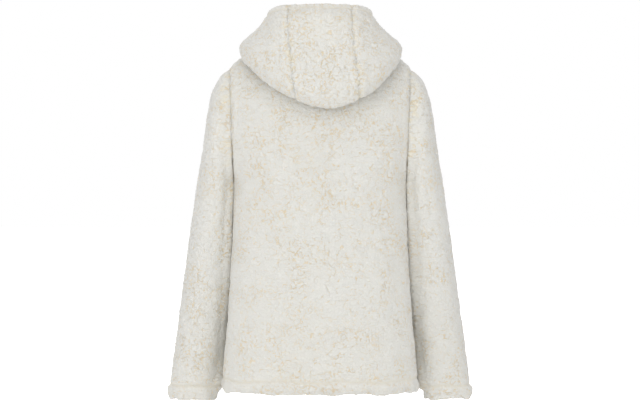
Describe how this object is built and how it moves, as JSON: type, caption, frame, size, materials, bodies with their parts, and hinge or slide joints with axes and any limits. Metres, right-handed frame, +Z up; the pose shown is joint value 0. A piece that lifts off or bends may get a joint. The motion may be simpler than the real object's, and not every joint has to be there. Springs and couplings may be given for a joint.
{
  "type": "hooded fleece jacket",
  "caption": "Hooded sherpa fleece jacket, filled out as if worn, hood down on the back, set-in sleeves, turned hem and cuffs, full-length front zip closed.",
  "frame": {"origin": "middle of the neck opening, level with the high points of the shoulders", "axes": "+Z up as worn, -Y out of the front (the zip), +X to the wearer's left"},
  "size_m": [0.586, 0.3102, 0.7546],
  "materials": {
    "fleece": "cream sherpa pile, rounded clumps with tan hollows between them",
    "tape": "woven herringbone tape, cream",
    "teeth": "moulded teeth, cream",
    "metal": "satin nickel plate"
  },
  "bodies": {
    "jacket": {"back": "fleece", "front_left": "fleece", "front_right": "fleece", "sleeve_left": "fleece", "sleeve_right": "fleece", "hood_middle": "fleece", "hood_left": "fleece", "hood_right": "fleece", "zip_tape_left": "tape", "zip_tape_right": "tape", "zip_chain": "teeth", "zip_box": "metal", "zip_slider": "metal"},
    "zip_pull": {"zip_pull": "metal"}
  },
  "joints": [
    {"name": "zip_pull_hinge", "type": "hinge", "parent": "jacket", "child": "zip_pull", "pos_m": [0, -0.09741, -0.09859], "axis": [-1, 0, 0], "range_deg": [0, 150]}
  ]
}
